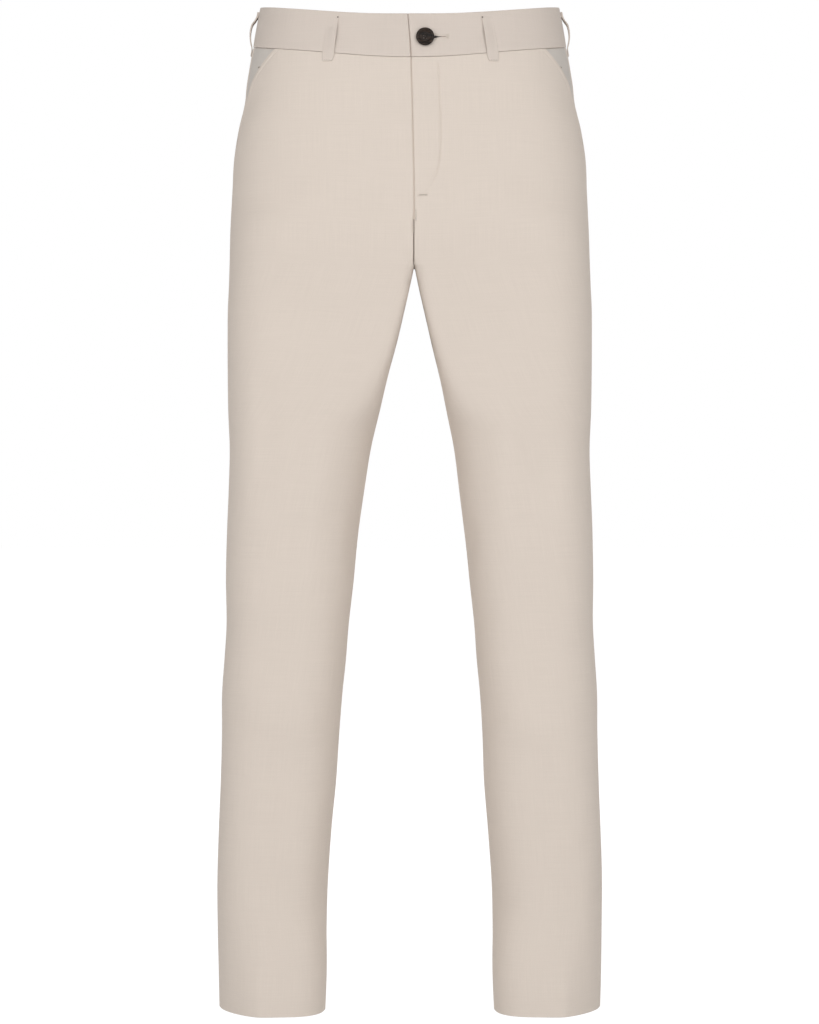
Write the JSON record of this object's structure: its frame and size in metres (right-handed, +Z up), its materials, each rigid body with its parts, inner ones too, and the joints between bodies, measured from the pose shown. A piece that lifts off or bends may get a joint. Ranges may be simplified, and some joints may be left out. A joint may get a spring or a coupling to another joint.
{
  "type": "linen trousers",
  "caption": "Straight tapered linen trousers in a worn, hollow form, with a buttoned waistband, belt loops, a fly and slanted side pockets.",
  "frame": {"origin": "middle of the waist, where the wearer holds the garment up, level with the top of the waistband at the sides", "axes": "+Z up, the front faces -Y, +X towards the wearer's left"},
  "size_m": [0.4016, 0.2399, 1.0563],
  "materials": {
    "linen": "plain woven linen, matt, ecru",
    "facing": "plain woven linen, matt, ecru, in shade",
    "zip_tape": "woven tape",
    "horn": "polished dark horn"
  },
  "bodies": {
    "root": {"front_left": "linen", "front_right": "linen", "back_left": "linen", "back_right": "linen", "pocket_facing_left": "facing", "pocket_facing_right": "facing", "waistband_left": "linen", "waistband_right": "linen", "belt_loop_front_left": "linen", "belt_loop_front_right": "linen", "belt_loop_side_left": "linen", "belt_loop_side_right": "linen", "belt_loop_back_left": "linen", "belt_loop_back_right": "linen", "fly_zip": "zip_tape", "waist_button": "horn"}
  },
  "joints": []
}
